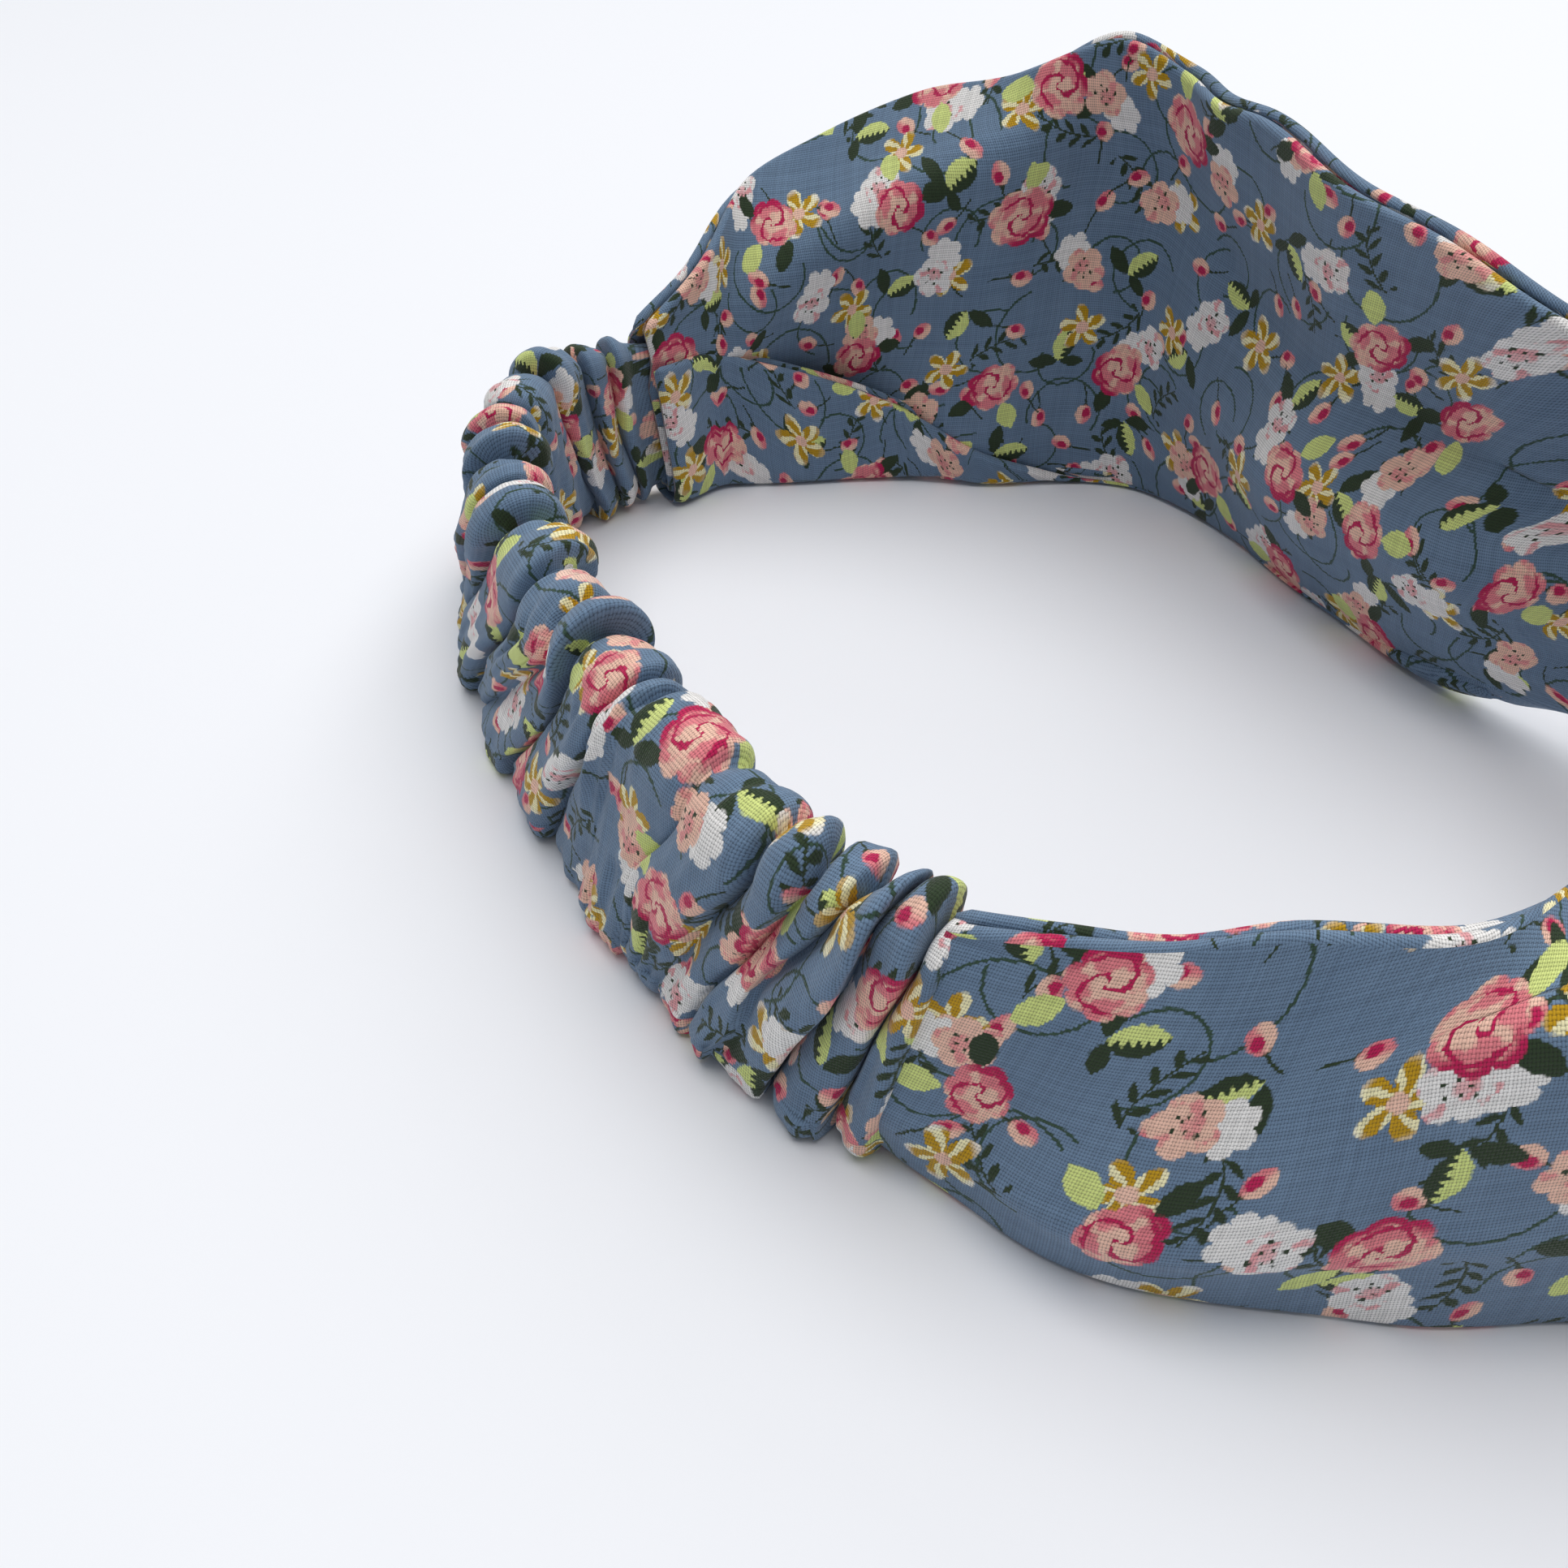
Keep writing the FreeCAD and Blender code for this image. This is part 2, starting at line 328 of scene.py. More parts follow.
def soft(value, low, high):
    """0 where value is at low, 1 where it is at high."""
    return Field(new_node("MapRange", {"Value": value, "From Min": low, "From Max": high},
                          interpolation_type="SMOOTHSTEP")["Result"])


def length(x, y):
    return math_node("SQRT", x * x + y * y)


def vector_of(*values):
    return Field(new_node("CombineXYZ", dict(enumerate(values)))[0])


def split(vector, kind="SeparateXYZ"):
    return [Field(out) for out in new_node(kind, {0: vector})[:3]]


def random_of(x, y, seed):
    """Three random numbers for each whole-number place."""
    outputs = new_node("TexWhiteNoise", {"Vector": vector_of(x, y, seed)},
                       noise_dimensions="3D")
    return split(Field(outputs["Color"]), "SeparateColor")


def noise(x, y, size, seed):
    return Field(new_node("TexNoise", {"Vector": vector_of(x, y, seed), "Scale": 1.0 / size,
                                       "Detail": 2.0})["Fac"])


def mix(share, first, second, kind="MIX"):
    first, second = (colour if isinstance(colour, Field) else (*colour, 1.0)
                     for colour in (first, second))
    return Field(new_node("Mix", {"Factor": share, 6: first, 7: second},
                          data_type="RGBA", blend_type=kind)[2])


def linear(red, green, blue):
    """Linear colour of an sRGB one given in 0 to 255."""
    return tuple(((c / 255 + 0.055) / 1.055)**2.4 if c > 10 else c / 255 / 12.92
                 for c in (red, green, blue))


def cloth_material(name):
    """New material, its surface, and the place on the cloth in mm."""
    material = bpy.data.materials.new(name)
    material.use_nodes = True
    Field.tree = material.node_tree
    u, v, _ = split(Field(new_node("UVMap", {}, uv_map="cloth")[0]))
    return material, Field.tree.nodes["Principled BSDF"], u, v


def raise_threads(surface, height, strength, distance):
    bump = new_node("Bump", {"Strength": strength, "Distance": distance, "Height": height})
    feed(surface, {"Normal": Field(bump[0])})


# ---- the print: one function per motif -------------------------------------------------
GROUND = linear(116, 140, 166)
GROUND_DEEP = linear(97, 121, 148)
PEACH = linear(240, 196, 176)
PINK = linear(228, 130, 138)
MAGENTA = linear(190, 28, 84)
WHITE = linear(238, 236, 234)
MUSTARD = linear(190, 148, 22)
CREAM = linear(244, 236, 190)
LIME = linear(212, 224, 138)
OLIVE = linear(44, 60, 38)
STEM = linear(52, 76, 62)


class Cell:
    """One motif's place in a jittered, turned grid: local x and y in mm, and random numbers."""

    def __init__(self, u, v, size, turn, seed, jitter):
        self.size, self.seed = size, seed
        c, s = math.cos(turn), math.sin(turn)
        a = (u * c + v * s) * (1.0 / size) + seed * 0.37
        b = (v * c - u * s) * (1.0 / size) + seed * 0.71
        row, column = math_node("FLOOR", b), math_node("FLOOR", a)
        self.r = random_of(column, row, float(seed))
        x = (a - column - 0.5 - (self.r[0] - 0.5) * jitter) * size
        y = (b - row - 0.5 - (self.r[1] - 0.5) * jitter) * size
        angle = self.r[2] * (2 * math.pi)
        ca, sa = cosine(angle), sine(angle)
        self.x = x * ca + y * sa
        self.y = y * ca - x * sa
        self.pick = random_of(column, row, seed + 40.5)


def polar(x, y):
    return length(x, y), math_node("ARCTAN2", y, x)


def disc(x, y, radius, edge=0.12):
    return soft(length(x, y), radius + edge, radius - edge)


def leaf(x, y, long, wide, edge=0.1):
    """Leaf from 0 to long along x."""
    t = x * (1.0 / long)
    bow = math_node("MAXIMUM", t * (1.0 - t) * 4.0, 0.0)
    half = bow**0.8 * wide
    return soft(abs(y), half + edge, half - edge) * (t > 0.0) * (t < 1.0)


def turned(x, y, degrees, along=0.0, over=0.0):
    c, s = math.cos(math.radians(degrees)), math.sin(math.radians(degrees))
    x, y = x - along, y - over
    return x * c + y * s, y * c - x * s


def stem_arcs(colour, cell):
    radius = (cell.pick[0] * 0.14 + 0.28) * cell.size
    far = length(cell.x, cell.y)
    line = soft(abs(far - radius), 0.24, 0.10)
    return mix(line * (cell.y > -2.0) * (cell.pick[1] < 0.85), colour, STEM)


def sprig(colour, cell):
    """Curved stem with six dark leaflets."""
    x, y = cell.x, cell.y - cell.x * cell.x * 0.05
    mask = soft(abs(y), 0.2, 0.08) * (abs(x) < 4.6)
    pitch = 2.2
    slot = math_node("WRAP", x + (y > 0.0) * 1.1, pitch, 0.0)
    lx, ly = turned(slot, abs(y), 48.0, 0.15, 0.1)
    mask = math_node("MAXIMUM", mask, leaf(lx, ly, 2.3, 0.42) * (abs(x) < 4.4))
    return mix(mask * (cell.pick[0] < 0.7), colour, OLIVE)


def bud(colour, cell):
    """Small pink bud on a stem with a green cup."""
    show = cell.pick[0] < 0.62
    x, y = cell.x, cell.y
    stem = soft(abs(y - x * x * 0.06), 0.2, 0.08) * (x < 0.0) * (x > -4.0)
    cup = leaf(x + 1.0, y, 1.7, 0.62)
    petal = disc(x * 0.75 - 0.75, y, 1.25)
    colour = mix(math_node("MAXIMUM", stem, cup) * show, colour, OLIVE)
    colour = mix(petal * show, colour, mix(soft(y, -0.6, 0.5), PINK, PEACH))
    heart = disc(x * 0.8 - 0.55, y + 0.35, 0.62)
    return mix(heart * show, colour, MAGENTA)


def leaf_pair(colour, cell):
    """Two-tone leaf, pale with dark hatching, beside a dark one."""
    show = cell.pick[0] < 0.8
    px, py = turned(cell.x, cell.y, 24.0, -0.4, 0.2)
    pale = leaf(px, py, 5.8, 1.75)
    dark_half = soft(py + sine(px * 7.0) * 0.35, 0.05, 0.35)
    colour = mix(pale * show, colour, mix(dark_half, LIME, OLIVE))
    dx, dy = turned(cell.x, cell.y, -58.0, -0.3, -0.2)
    colour = mix(leaf(dx, dy, 5.0, 1.15) * show, colour, OLIVE)
    ex, ey = turned(cell.x, cell.y, 118.0, -0.3, 0.4)
    return mix(leaf(ex, ey, 3.6, 0.95) * (cell.pick[1] < 0.6) * show, colour, OLIVE)


def star_flower(colour, cell):
    """Mustard and cream flower of five narrow petals."""
    far, angle = polar(cell.x, cell.y)
    petal = abs(cosine(angle * 2.5))
    reach = (petal * 0.62 + 0.38) * (cell.pick[1] * 0.9 + 3.5)
    inside = soft(far, reach + 0.15, reach - 0.15) * (cell.pick[0] < 0.8)
    streak = soft(sine(angle * 7.0 + far * 1.3), 0.1, 0.5)
    tone = mix(streak, MUSTARD, CREAM)
    tone = mix(soft(far, 3.0, 4.0) * cell.pick[2], tone, WHITE)
    tone = mix(disc(cell.x, cell.y, 0.95), tone, PEACH)
    return mix(inside, colour, tone)


def blossom(colour, cell):
    """Peach bloom with dark stamens, a white one half behind it."""
    show = cell.pick[0] < 0.86

    def bloom(x, y, radius, lobes):
        petal = abs(cosine(polar(x, y)[1] * (lobes / 2) + cell.pick[1] * 3))
        wave = petal**0.6 * 0.3 + 0.78
        return disc(x, y, wave * radius)

    colour = mix(bloom(cell.x - 2.1, cell.y + 0.8, 2.7, 6.0) * show, colour, WHITE)
    front = bloom(cell.x + 1.3, cell.y - 0.4, 3.1, 5.0)
    tone = mix(soft(cell.pick[2], 0.45, 0.55), PEACH, WHITE)
    tone = mix(soft(noise(cell.x, cell.y, 2.2, cell.seed), 0.52, 0.6) * 0.75, tone, PINK)
    colour = mix(front * show, colour, tone)
    sx, sy = cell.x + 1.2, cell.y - 0.2
    far, angle = polar(sx, sy)
    slot = sine(angle * 3.5)
    ring = slot * 0.35 + 1.05
    dots = soft(slot * slot, 0.6, 0.85) * soft(abs(far - ring), 0.3, 0.16)
    colour = mix(soft(far, 1.0, 0.4) * 0.6 * show, colour, PINK)
    return mix(dots * show, colour, OLIVE)


def rose(colour, cell):
    """Full rose: pink with peach lights, a magenta heart and a magenta rim on one side."""
    show = cell.pick[0] < 0.8
    far, angle = polar(cell.x, cell.y)
    lx, ly = turned(cell.x, cell.y, 150.0, -3.0, 2.2)
    colour = mix(leaf(lx, ly, 5.2, 1.6) * show, colour, LIME)
    mx, my = turned(cell.x, cell.y, -130.0, -2.6, -2.4)
    colour = mix(leaf(mx, my, 4.6, 1.3) * show, colour, OLIVE)
    petal = abs(cosine(angle * 3.5 + cell.pick[1] * 3.0))
    wave = petal**0.5 * 0.2 + 0.86
    reach = wave * (sine(angle * 2.0) * 0.08 + 1.0) * (cell.pick[1] * 0.9 + 3.5)
    tone = mix(soft(noise(cell.x, cell.y, 2.6, cell.seed + 3.0), 0.42, 0.54), PINK, PEACH)
    swirl = sine(far * 2.4 + angle * 2.0 + noise(cell.x, cell.y, 2.0, cell.seed) * 7.0)
    tone = mix(soft(swirl, 0.7, 0.92) * soft(far, 3.8, 3.0), tone, MAGENTA)
    rim = soft(far, reach - 1.2, reach - 0.6) * soft(cell.y, -1.0, -2.4)
    tone = mix(rim, tone, MAGENTA)
    return mix(soft(far, reach + 0.15, reach - 0.15) * show, colour, tone)


THREAD_U = 0.27          # pitch of the threads along the band, mm
THREAD_V = 0.33          # and across it
DYE_BY_THREAD = 0.6      # how far the dye follows whole threads
PRINT_SCALE = 1.08       # the motifs are drawn this much larger than they are printed
BOLT_WANDER = 1.2        # how far the cloth's threads stray from straight lines, mm
# Each layer of the print: its motif, and its grid's size in mm, turn, seed and jitter.
PRINT = (
    (stem_arcs, 15.0, 0.3, 11, 0.2), (stem_arcs, 18.0, 1.1, 12, 0.2),
    (sprig, 14.5, 0.7, 13, 0.2), (bud, 10.5, 0.15, 14, 0.35), (bud, 12.5, 0.95, 15, 0.35),
    (leaf_pair, 17.5, 0.5, 16, 0.3), (star_flower, 18.5, 1.25, 17, 0.3),
    (blossom, 16.5, 0.85, 18, 0.3), (rose, 21.0, 0.2, 19, 0.3),
)


def printed_cotton():
    """Plain-weave cotton with a scattered flower print, laid out in millimetres of cloth, with
    painted shade between the threads.
    """
    material, surface, u, v = cloth_material("printed_cotton")
    u = u + (noise(u, v, 14.0, 5.0) - 0.5) * BOLT_WANDER
    v = v + (noise(u, v, 14.0, 9.0) - 0.5) * BOLT_WANDER
    a, b = u * (1.0 / THREAD_U), v * (1.0 / THREAD_V)
    column, row = math_node("FLOOR", a), math_node("FLOOR", b)
    # the dye follows whole threads, so the print is read partly at the thread's own place
    own = 1.0 - DYE_BY_THREAD
    pu = u * own + (column + 0.5) * (THREAD_U * DYE_BY_THREAD)
    pv = v * own + (row + 0.5) * (THREAD_V * DYE_BY_THREAD)
    pu = (pu + (noise(u, v, 0.8, 2.0) - 0.5) * 0.5) * PRINT_SCALE
    pv = (pv + (noise(u, v, 0.8, 7.0) - 0.5) * 0.5) * PRINT_SCALE
    colour = mix(noise(u, v, 6.0, 1.0), GROUND, GROUND_DEEP)
    for motif, *grid in PRINT:
        colour = motif(colour, Cell(pu, pv, *grid))
    # plain weave: warp and weft take turns on top; the thread height gives the bump and also
    # paints shade into the colour
    fa, fb = a - column - 0.5, b - row - 0.5
    over = math_node("WRAP", column + row, 2.0, 0.0)
    warp = cosine(fb * math.pi) * (cosine(fa * 2.2) * 0.5 + 0.5)
    weft = cosine(fa * math.pi) * (cosine(fb * 2.2) * 0.5 + 0.5)
    lift = over * 0.35
    height = math_node("MAXIMUM", warp + lift, weft + 0.35 - lift)
    uneven = random_of(column, 0.0, 3.0)[0] * 0.5 + random_of(0.0, row, 4.0)[1] * 0.5
    # painted shade and light: the colour is darker where the weave lies low between threads and a
    # little lighter on the thread crowns; uneven is the threads' own random tone
    light = soft(height, 0.4, 1.1) * 0.62 + 0.5 + (uneven - 0.5) * 0.24
    shaded = mix(1.0, colour, vector_of(light, light, light), "MULTIPLY")
    feed(surface, {"Base Color": shaded, "Roughness": 0.88, "Sheen Weight": 0.18,
                   "Sheen Roughness": 0.5, "Specular IOR Level": 0.25})
    raise_threads(surface, height + noise(u, v, 1.6, 6.0) * 1.5, 0.6, 0.00009)
    return material


# ---- pieces ----------------------------------------------------------------------------
# Stations of the near wrap from its join to the knot: plan x and y of the foot, height of
# the foot, how far in and how high the crease and the upper edge stand, and how far the
# face below the crease bellies out.
NEAR_ROWS = np.array([
    (-55.6, 28.8, 1.4, 0.6, 15.0, 2.0, 28.2, 0.6),
    (-61.5, 22.8, 0.7, 1.2, 16.0, 4.5, 30.0, 1.4),
    (-68.3, 14.5, 0.7, 1.6, 18.0, 7.0, 32.0, 2.4),
    (-72.4, 2.5, 0.7, 1.8, 22.0, 7.6, 35.5, 2.6),
    (-73.7, -11.5, 0.7, 2.6, 30.0, 7.5, 36.5, 2.4),
    (-73.8, -24.0, 0.7, 2.2, 34.0, 14.5, 34.8, 2.4),
    (-74.0, -40.0, 0.7, 2.2, 36.5, 15.0, 38.5, 2.2),
    (-72.8, -53.0, 2.0, 2.0, 38.0, 10.0, 43.0, 1.6),
    (-68.5, -64.0, 6.0, 1.5, 36.0, 5.0, 46.0, 1.0),
    (-61.8, -70.6, 9.5, 0.5, 30.0, 1.0, 46.5, 0.5),
    (-54.2, -72.9, 12.0, 0.0, 30.0, 0.0, 46.0, 0.2),
])
# The same for the far wrap, with a fold that lies inside its foot, and the height at which
# the inner face swells towards the loop and how far.
FAR_ROWS = np.array([
    # x, y, foot, fold in, fold z, belly in, belly z, crease in, crease z, edge in, edge z
    (61.8, 58.8, 1.4, 2.4, 23.0, -0.6, 12.0, -0.2, 20.0, 3.0, 28.6),
    (67.0, 51.0, 0.7, 3.0, 22.0, -0.8, 12.0, 0.4, 20.0, 0.0, 34.5),
    (70.0, 44.0, 0.7, 3.4, 20.0, -0.8, 12.0, 3.0, 29.5, -5.5, 41.0),
    (72.6, 34.0, 0.7, 4.0, 17.0, -0.5, 14.0, 4.5, 36.0, -7.0, 47.0),
    (71.5, 21.0, 0.7, 4.0, 12.0, 0.5, 20.0, 5.5, 44.0, -5.5, 54.0),
    (69.0, 9.0, 0.7, 2.6, 5.0, 2.0, 24.0, 4.5, 50.0, -1.5, 57.5),
    (69.3, -4.0, 0.7, 1.0, 1.6, 2.0, 26.0, 1.5, 50.0, 4.5, 63.8),
    (67.0, -14.5, 0.7, 0.9, 1.4, 1.0, 24.0, 2.0, 47.0, 5.5, 60.6),
    (60.0, -21.6, 0.7, 0.9, 1.4, 3.0, 18.0, 2.0, 42.0, 8.0, 59.5),
    (52.0, -27.0, 0.7, 0.9, 1.4, 5.5, 17.0, 2.0, 36.0, 9.0, 60.0),
    (32.0, -36.5, 0.8, 0.9, 1.6, 8.0, 19.0, 2.0, 34.0, 10.0, 58.0),
    (13.0, -46.0, 3.0, 0.9, 3.8, 7.5, 22.0, 2.5, 35.0, 10.0, 55.5),
    (2.5, -54.5, 7.0, 0.9, 7.8, 4.0, 24.0, 1.5, 34.0, 5.0, 51.0),
    (-7.7, -62.9, 10.0, 0.8, 10.8, 1.0, 24.0, 0.5, 32.0, 0.0, 48.0),
])
BELLY_PLACE = 0.42           # the near wrap's face bellies out most this share of the way
                             # from its foot to its crease
# How far each wrap's first rings are sheared along the band at their upper edge, so that
# the wrap ends in line with the casing's gathers.
NEAR_SHEAR = (3.0, 2.4, 1.2)
FAR_SHEAR = (-2.0, -1.0, 0.0)


def near_profile(foot, crease_in, crease_z, edge_in, edge_z, belly):
    return section([(0.0, foot), (-belly, foot + BELLY_PLACE * (crease_z - foot)),
                    (crease_in, crease_z), (edge_in, edge_z)], (4, 5, 5))


def far_profile(foot, fold_in, fold_z, belly_in, belly_z, crease_in, crease_z, edge_in, edge_z):
    return section([(fold_in, fold_z), (fold_in * 0.75, foot + 0.25), (0.0, foot),
                    (belly_in, belly_z), (crease_in, crease_z), (edge_in, edge_z)],
                   (4, 1, 4, 3, 2))


def wrap_rings(table, profile, shears):
    """Control rings of a wrap's middle surface, the first ones sheared along the wrap."""
    _, inward = plan_frame(np.vstack([table[:, :2], KNOT_CENTRE[None, :2]]))
    rings = np.array([[(x + n[0] * a, y + n[1] * a, z) for a, z in profile(*rest)]
                      for (x, y, *rest), n in zip(table, inward)])
    along, _ = plan_frame(table[:, :2])
    for k, shear in enumerate(shears):
        share = (rings[k][:, 2] - CASING_WIDTH / 2) / (CASING_WIDTH / 2)
        rings[k][:, :2] += along[k] * (share * shear)[:, None]
    return rings


def knot_point(x, y, z):
    """Point of the knot, from x towards the far wrap, y into the loop and z up."""
    c, s = math.cos(KNOT_TURN), math.sin(KNOT_TURN)
    return np.array([x * c - y * s, x * s + y * c, z]) + KNOT_CENTRE


PLEAT_SIZES = (0.35, 1.35)   # smallest and largest pleat, as a share of the usual one
PLEAT_SWELL = 0.45           # how much a pleat swells and sinks on its way round
PLEAT_SHIFT = 0.05           # how far a pleat lies from its even place, in half widths
PLEAT_SWAY = 0.035           # how far it sways on its way round
LOOP_DOME = 1.6              # bow of the near loop across its width
STRAND_DOME = 1.4            # and of the far loop's strands
STRAND_PLEAT = 1.7
STRAND_OFFSET = -3.0         # how far an upright strand stands out of the loop's plane


def pleated(middle, wide, thick, span, pleat, dome, seed, place):
    """Control ring of gathered cloth: uneven pleats across `wide`, about 2 * pleat tall.

    wide and thick are unit directions in the knot; dome bows the ring towards thick. The
    pleats keep to their columns, and swell and sink from one place of the loop to the next."""
    draw = np.random.default_rng(seed)
    share = np.linspace(-1.0, 1.0, COLUMNS)
    strength = draw.uniform(*PLEAT_SIZES, COLUMNS)
    pace = draw.uniform(0.5, 1.3, COLUMNS)
    phase = draw.uniform(0, 6, COLUMNS)
    swell = 1.0 + PLEAT_SWELL * np.sin(place * pace + phase)
    drift = draw.uniform(-PLEAT_SHIFT, PLEAT_SHIFT, COLUMNS)
    drift = drift + PLEAT_SWAY * np.sin(place * 0.9 + share * 3.0)
    lift = pleat * np.where(np.arange(COLUMNS) % 2, 1.0, -1.0) * strength * swell
    lift = lift + dome * (1.0 - share**2)
    share = share + drift
    return [knot_point(*(np.array(middle) + np.array(wide) * s * span / 2 + np.array(thick) * h))
            for s, h in zip(share, lift)]


def near_loop_rings():
    """The near wrap's turn round the far loop, in the plane of the table."""
    half = [(-17.0, -9.0, -0.35, -0.94, 33.0, 1.2), (-9.5, -12.2, 0.0, -1.0, 29.0, 1.9),
            (-1.5, -11.2, 0.5, -0.87, 26.5, 2.0), (2.6, -5.0, 0.95, -0.3, 25.0, 2.0)]
    stations = half + [(x, -y, ox, -oy, span, pleat)
                       for x, y, ox, oy, span, pleat in half[::-1]]
    return [pleated((x, y, 0.0), (0, 0, 1), (ox, oy, 0), span, pleat, LOOP_DOME, 50, k)
            for k, (x, y, ox, oy, span, pleat) in enumerate(stations)]


def far_loop_rings():
    """The far wrap's turn over and under the near loop, in an upright plane.

    Each strand leaves the wrap upright and fans down to the middle, so the knot stays shut;
    its width then turns level to lie over the near loop."""
    over_it = [(16.0, 7.5, 74.0, 27.0, 0.3, 0.2), (10.0, 10.0, 66.0, 22.0, 0.3, 0.5),
               (3.5, 16.2, 30.0, 17.5, 0.1, 1.0), (-4.5, 18.2, 4.0, 16.0, -0.35, 0.94),
               (-10.4, 13.6, 0.0, 14.5, -0.85, 0.5), (-11.4, 5.0, 0.0, 13.5, -1.0, 0.1)]
    rings = []
    stations = over_it + [(x, -z, -tilt, span, ox, -oz)
                          for x, z, tilt, span, ox, oz in over_it[::-1]]
    for k, (x, z, tilt, span, ox, oz) in enumerate(stations):
        c, s = math.cos(math.radians(tilt)), math.sin(math.radians(tilt))
        rings.append(pleated((x, STRAND_OFFSET * s, z), (0.0, c, s), (ox * c, -s, oz * c),
                             span, STRAND_PLEAT, STRAND_DOME, 51, k))
    return rings


WRAP_STEP = 1.1              # between rows of a wrap's mesh
WRAP_WIDTH = 55.0            # nominal width that the drape is laid out over
SMALL_DRAPE = 0.8            # height of the wraps' shorter folds
JOIN_EASE = 12.0             # the drape starts over this length at the join
KNOT_EASE = 14.0             # and ends over this length before the knot
MOUTH_REACH = 13.0           # the legs close again this far past the join
KNOT_OVERLAP = 7.0           # length at the end of a leg that the turn's curve takes over


def wrap_grid(arm_rings, loop_rings, seed):
    """Middle surface of a whole folded tube: leg, turn in the knot, leg."""
    arm = skin(arm_rings, WRAP_STEP)
    rows = np.arange(len(arm)) * WRAP_STEP
    columns = np.linspace(0, WRAP_WIDTH, arm.shape[1])
    u, v = np.meshgrid(rows, columns, indexing="ij")
    ease = ramp(u, 0.0, JOIN_EASE) * (1 - ramp(u, rows[-1] - KNOT_EASE, rows[-1]))
    small = waves(u, v * 0.7, seed, 26.0) * SMALL_DRAPE
    drape = small + waves(u, v * 0.35, seed + 20, 60.0) * DRAPE
    arm = arm + grid_normals(arm) * (drape * ease)[..., None]
    normal = grid_normals(arm)
    centre = (len(arm) // 2, 40)         # a point well inside the leg's face
    inward = np.sign((normal[centre] * -arm[centre]).sum())
    # the legs open like a mouth round the casing's end, and stay closed at both edges
    across = (arm[..., 2] - CASING_WIDTH / 2) / (CASING_WIDTH / 2)
    mouth = 1.0 - np.clip(np.abs(across), 0.0, 1.0)**5
    spread = LEG_GAP / 2 + JOIN_SPREAD * (1 - ramp(u, 0.0, MOUTH_REACH)) * mouth
    legs = [arm + normal * (side * inward * spread)[..., None] for side in (-1, 1)]
    picks = np.linspace(0, arm.shape[1] - 1, COLUMNS).round().astype(int)
    back = int(round(KNOT_OVERLAP / WRAP_STEP))
    first = [legs[0][-1 - back][picks], legs[0][-1][picks]]
    last = [legs[1][-1][picks], legs[1][-1 - back][picks]]
    turn = skin(first + list(loop_rings) + last, WRAP_STEP)
    return np.concatenate([legs[0][:-1 - back], turn, legs[1][:-1 - back][::-1]])


COTTON = printed_cotton()


def make_wrap(name, nodes, arm_rings, loop_rings, seed):
    """One wrap as a flattened tube; its middle surface is kept for the stitching."""
    grid = wrap_grid(arm_rings, loop_rings, seed)
    piece, long, wide = thick_strip(name, grid, PLY, [COTTON])
    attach(piece, "band")
    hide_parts(*nodes)
    wide * MM
    long * MM
    return grid


NEAR_GRID = make_wrap("near_wrap_cloth", ("near_wrap", "near_knot_loop"),
                      wrap_rings(NEAR_ROWS, near_profile, NEAR_SHEAR), near_loop_rings(), 3)
FAR_GRID = make_wrap("far_wrap_cloth", ("far_wrap", "far_knot_loop"),
                     wrap_rings(FAR_ROWS, far_profile, FAR_SHEAR), far_loop_rings(), 4)


# ---- ruched casing ---------------------------------------------------------------------
# Valleys between the gathers, from the near join to the far join: place of the valley's
# upper and lower end along the casing, how deep the valley is at the foot and at the top
# (1 goes down to the elastic), the height of the gather after it, and how far that gather
# leans back over the valley. Places and heights in mm.
GATHERS = np.array([
    (-3.2, 0.6, 1.0, 1.0, 3.3, 0.3),
    (0.2, 5.6, 1.0, 1.0, 4.0, 0.9),
    (4.4, 13.4, 1.0, 0.9, 4.7, 2.0),
    (8.2, 17.4, 0.0, 0.9, 4.1, 0.2),
    (12.0, 22.0, 0.45, 0.85, 4.0, 0.4),
    (17.4, 27.0, 0.2, 1.0, 4.4, 0.8),
    (27.0, 36.0, 0.12, 0.3, 4.0, 0.0),
    (38.0, 45.0, 0.2, 0.15, 3.9, 0.0),
    (43.0, 56.0, 0.9, 0.8, 4.5, 1.8),
    (51.5, 68.5, 0.8, 0.78, 4.7, 2.4),
    (57.5, 77.0, 0.2, 0.6, 4.2, 0.6),
    (66.5, 86.0, 0.95, 0.65, 4.5, 2.1),
    (77.5, 95.0, 0.35, 0.8, 4.4, 1.6),
    (86.0, 103.5, 0.95, 0.55, 4.3, 1.9),
    (96.5, 112.0, 0.5, 0.85, 4.2, 1.4),
    (103.5, 118.5, 0.2, 0.75, 3.9, 0.6),
    (110.0, 123.5, 1.0, 0.9, 4.0, 1.2),
    (119.5, 130.0, 0.9, 1.0, 3.7, 0.9),
    (127.5, 135.5, 1.0, 1.0, 3.0, 0.5),
    (133.0, 138.5, 1.0, 1.0, 2.4, 0.3),
    (137.5, 141.5, 1.0, 1.0, 1.4, 0.0),
])
CORE_HALF = 1.2              # from the casing's middle to the floor of a valley
CASING_CORE_HEIGHT = 23.0    # between the valleys' ends at the two edges
MEAN_LIFT = 3.4              # height of an average gather, for the cloth's way round
GATHER_STEP = 0.40           # cloth between two points along the casing
CASING_ROUND = 150           # points round the casing
TUCK = 3.0                   # the casing's ends go this far in between the wraps' legs
LINE_REACH = 8.0             # the middle line goes on this far past both joins
LINE_POINTS = 600
LINE_ROUNDS = 30             # rounds of smoothing of the middle line
CREST = 0.72                 # under 1 brings a gather's crest nearer its first valley
PINCH = 0.55                 # how far a deep gather's sides are drawn in at its foot
VALLEY_SPACING = 1.8         # least distance between two valleys
WANDER_SEED = 21


